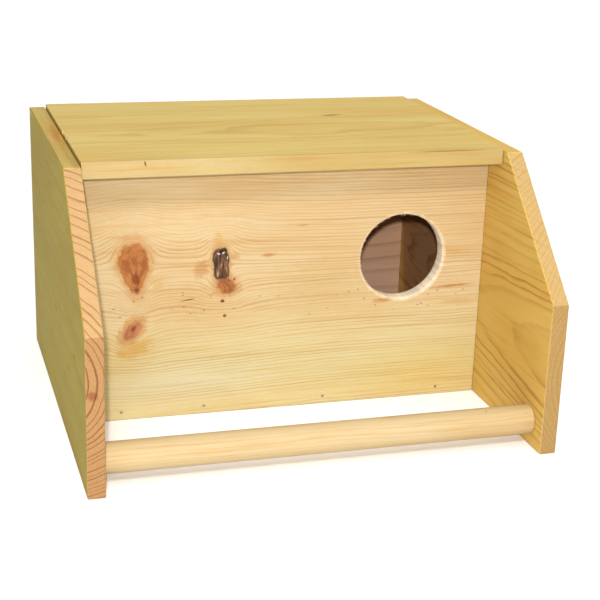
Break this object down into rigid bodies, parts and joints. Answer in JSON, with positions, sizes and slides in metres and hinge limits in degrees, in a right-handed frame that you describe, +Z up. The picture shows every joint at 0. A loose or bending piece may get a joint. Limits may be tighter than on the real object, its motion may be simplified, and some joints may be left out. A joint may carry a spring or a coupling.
{
  "type": "birdhouse",
  "caption": "Low, wide pine nest box with angled sides, a round off-centre entrance, a deep open porch with a dowel perch, and a lid that swings up at the back.",
  "frame": {"origin": "on the ground, in the middle of the box's footprint", "axes": "+X to the right as seen from the front, +Y from the front to the back, +Z up"},
  "size_m": [0.3474, 0.321, 0.2093],
  "materials": {
    "left_side": "planed, unfinished",
    "right_side": "planed, unfinished",
    "front_panel": "planed, unfinished",
    "back_panel": "planed, unfinished",
    "floor_panel": "planed, unfinished",
    "lid": "planed, unfinished",
    "perch": "smooth, unfinished",
    "steel": "plain wire"
  },
  "bodies": {
    "box": {"left_side": "left_side", "right_side": "right_side", "front_panel": "front_panel", "back_panel": "back_panel", "floor_panel": "floor_panel", "perch": "perch", "left_perch_nail": "steel", "right_perch_nail": "steel", "left_pivot_nail": "steel", "right_pivot_nail": "steel", "front_floor_nails": "steel", "back_floor_nails": "steel", "left_floor_nails": "steel", "right_floor_nails": "steel", "left_front_nails": "steel", "right_front_nails": "steel", "left_back_nails": "steel", "right_back_nails": "steel"},
    "lid": {"lid": "lid"}
  },
  "joints": [
    {"name": "lid_hinge", "type": "hinge", "parent": "box", "child": "lid", "pos_m": [0, 0.15415, 0.20295], "axis": [-1, 0, 0], "range_deg": [0, 100]}
  ]
}
